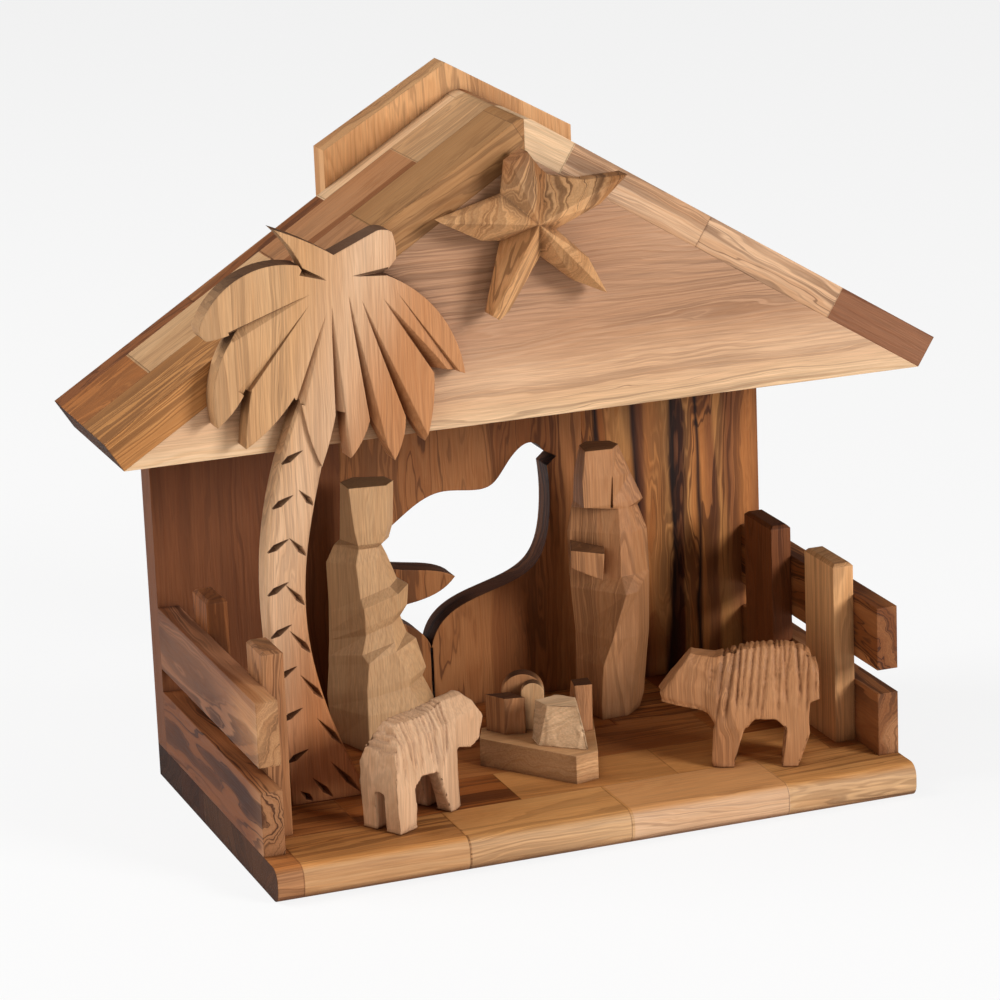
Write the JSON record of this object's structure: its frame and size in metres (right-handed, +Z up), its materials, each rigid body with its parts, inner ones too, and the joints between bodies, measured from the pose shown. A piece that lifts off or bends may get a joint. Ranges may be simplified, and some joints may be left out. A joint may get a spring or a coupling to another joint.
{
  "type": "nativity stable",
  "caption": "Free-standing olive-wood nativity stable with a pitched roof, a dove cut through its back wall, palm, star, standing figures, child in a manger, sheep and side fences.",
  "frame": {"origin": "centre of the base board's underside, where the stable rests on a shelf", "axes": "+X to the right seen from the front, +Y from the open front to the back wall, +Z up"},
  "size_m": [0.2165, 0.1012, 0.1772],
  "materials": {
    "base_wood": "satin oiled",
    "roof_wood": "satin oiled",
    "wall_wood": "satin oiled",
    "fence_wood": "satin oiled",
    "gable_wood": "satin oiled",
    "star_wood": "satin oiled",
    "palm_wood": "satin oiled",
    "sheep_wood": "satin oiled",
    "figure_wood": "satin oiled"
  },
  "bodies": {
    "root": {"back_board_center": "wall_wood", "back_board_left": "wall_wood", "back_board_right": "wall_wood", "base_row_1": "base_wood", "base_row_2": "base_wood", "base_row_3": "base_wood", "base_row_4": "base_wood", "base_row_5": "base_wood", "child_body": "figure_wood", "child_head": "figure_wood", "crib_left_side": "figure_wood", "crib_right_side": "figure_wood", "gable_board": "gable_wood", "headboard": "figure_wood", "joseph_figure": "figure_wood", "left_back_post": "fence_wood", "left_front_post": "fence_wood", "left_lower_rail": "fence_wood", "left_upper_rail": "fence_wood", "manger_base": "figure_wood", "mary_figure": "figure_wood", "palm_tree": "palm_wood", "right_back_post": "fence_wood", "right_front_post": "fence_wood", "right_lower_rail": "fence_wood", "right_upper_rail": "fence_wood", "roof_left_row_1": "roof_wood", "roof_left_row_2": "roof_wood", "roof_left_row_3": "roof_wood", "roof_right_row_1": "roof_wood", "roof_right_row_2": "roof_wood", "roof_right_row_3": "roof_wood", "sheep_left": "sheep_wood", "sheep_right": "sheep_wood", "star": "star_wood", "star_peg": "star_wood"}
  },
  "joints": []
}
